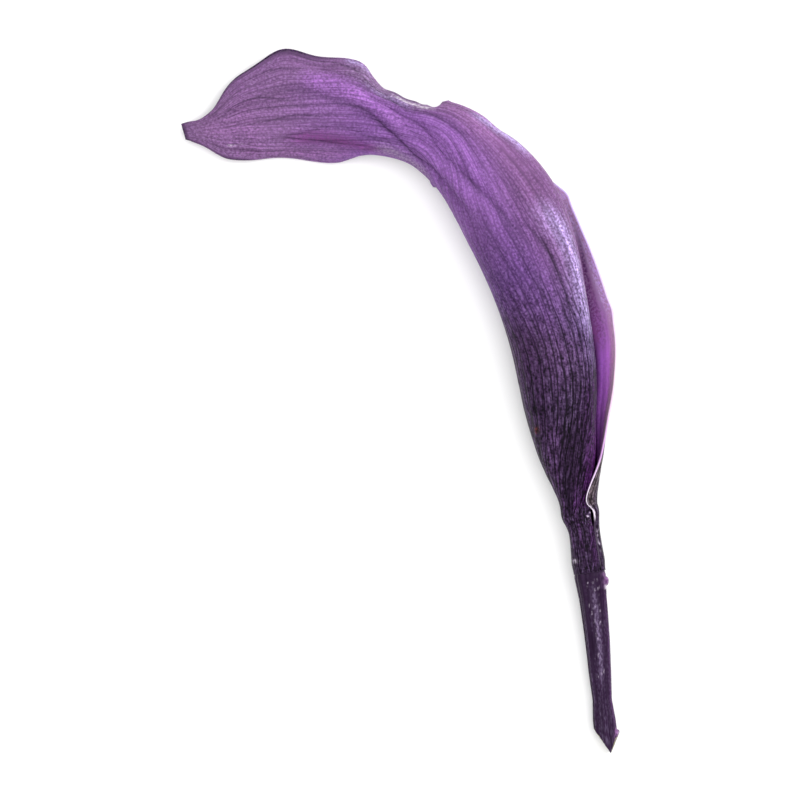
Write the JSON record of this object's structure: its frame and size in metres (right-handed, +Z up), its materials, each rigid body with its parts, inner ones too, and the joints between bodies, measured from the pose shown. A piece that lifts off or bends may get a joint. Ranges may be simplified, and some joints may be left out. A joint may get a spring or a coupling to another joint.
{
  "type": "calla lily flower",
  "caption": "Cut calla lily flower lying on its side: a leaf-like spathe rolled into a trumpet round a spadix, bent over into a pointed tail, on a short stem.",
  "frame": {"origin": "middle of the flower's box from above, on the surface that it lies on", "axes": "+Z up from that surface, +Y from the cut end of the stem towards the bloom, +X away from the side that the tail of the spathe bends over to"},
  "size_m": [0.0874, 0.1408, 0.0153],
  "materials": {
    "stem": "fleshy, ribbed lengthwise, semi-gloss, dark aubergine",
    "spadix": "matt, grained with tiny florets, golden yellow",
    "spathe": "waxy satin, veined lengthwise, purple that darkens to aubergine at the base"
  },
  "bodies": {
    "root": {"stem": "stem", "spadix": "spadix", "spathe": "spathe"}
  },
  "joints": []
}
